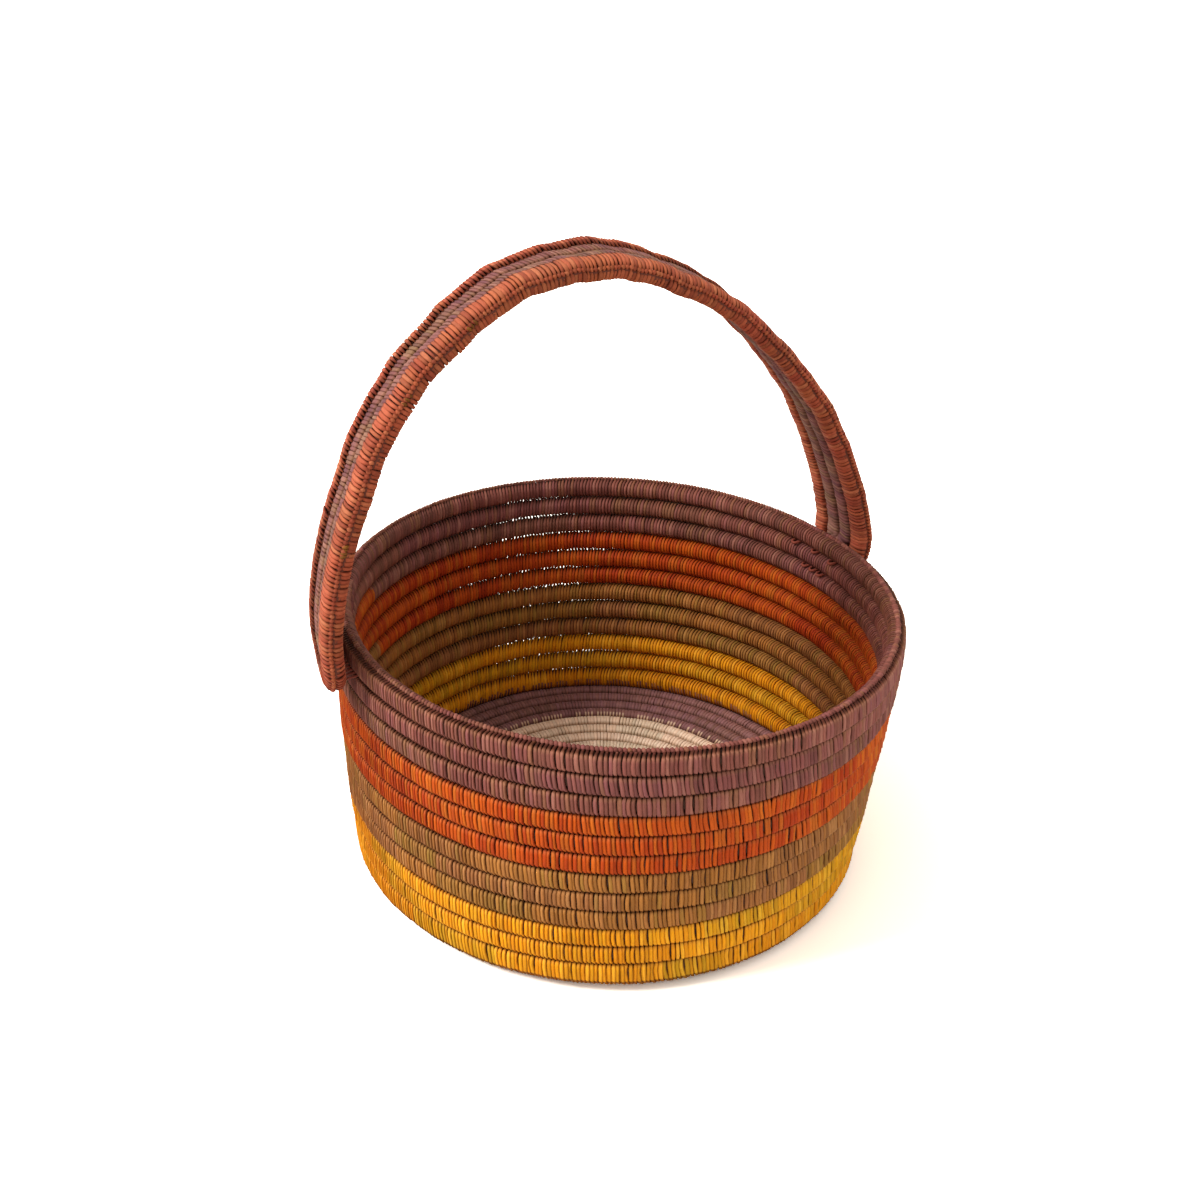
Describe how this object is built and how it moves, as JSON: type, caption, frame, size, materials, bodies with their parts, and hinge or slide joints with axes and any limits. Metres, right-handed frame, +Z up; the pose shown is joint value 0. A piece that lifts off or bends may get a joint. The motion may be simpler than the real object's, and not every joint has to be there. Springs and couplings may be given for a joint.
{
  "type": "coiled basket with arched handle",
  "caption": "Round coiled basket of bound plant fibre, striped in bands of colour, with an arched strap handle sewn to the outside of its rim.",
  "frame": {"origin": "on the floor under the middle of the rim", "axes": "+X along the handle, from its lower stitched foot on the left to the higher one on the right, +Z up"},
  "size_m": [0.32, 0.3141, 0.3145],
  "materials": {
    "leaf_undyed": "undyed split leaf, cream with grey green strips, satin to matt",
    "leaf_yellow": "yellow dyed split leaf, satin to matt",
    "leaf_tan": "tan and olive dyed split leaf, satin to matt",
    "leaf_orange": "orange dyed split leaf, satin to matt",
    "leaf_plum": "plum brown dyed split leaf, satin to matt",
    "leaf_red": "terracotta dyed split leaf, satin to matt",
    "leaf_handle_plum": "plum and olive grey dyed split leaf, satin to matt",
    "fibre": "bundle of dry plant fibre, matt, hidden inside the binding"
  },
  "bodies": {
    "root": {"base_start_disc": "leaf_undyed", "base_foundation": "fibre", "base_binding_undyed": "leaf_undyed", "base_binding_plum": "leaf_plum", "wall_foundation": "fibre", "wall_binding_yellow": "leaf_yellow", "wall_binding_tan": "leaf_tan", "wall_binding_orange": "leaf_orange", "wall_binding_plum": "leaf_plum", "rim_edging": "leaf_plum", "handle_foundation_plum": "fibre", "handle_binding_plum": "leaf_handle_plum", "handle_foundation_red": "fibre", "handle_binding_red": "leaf_red", "left_lashing_1": "leaf_red", "left_lashing_2": "leaf_red", "left_lashing_3": "leaf_red", "right_lashing_1": "leaf_red", "right_lashing_2": "leaf_red", "right_lashing_3": "leaf_red", "right_lashing_4": "leaf_red", "right_lashing_5": "leaf_red", "right_lashing_6": "leaf_red"}
  },
  "joints": []
}
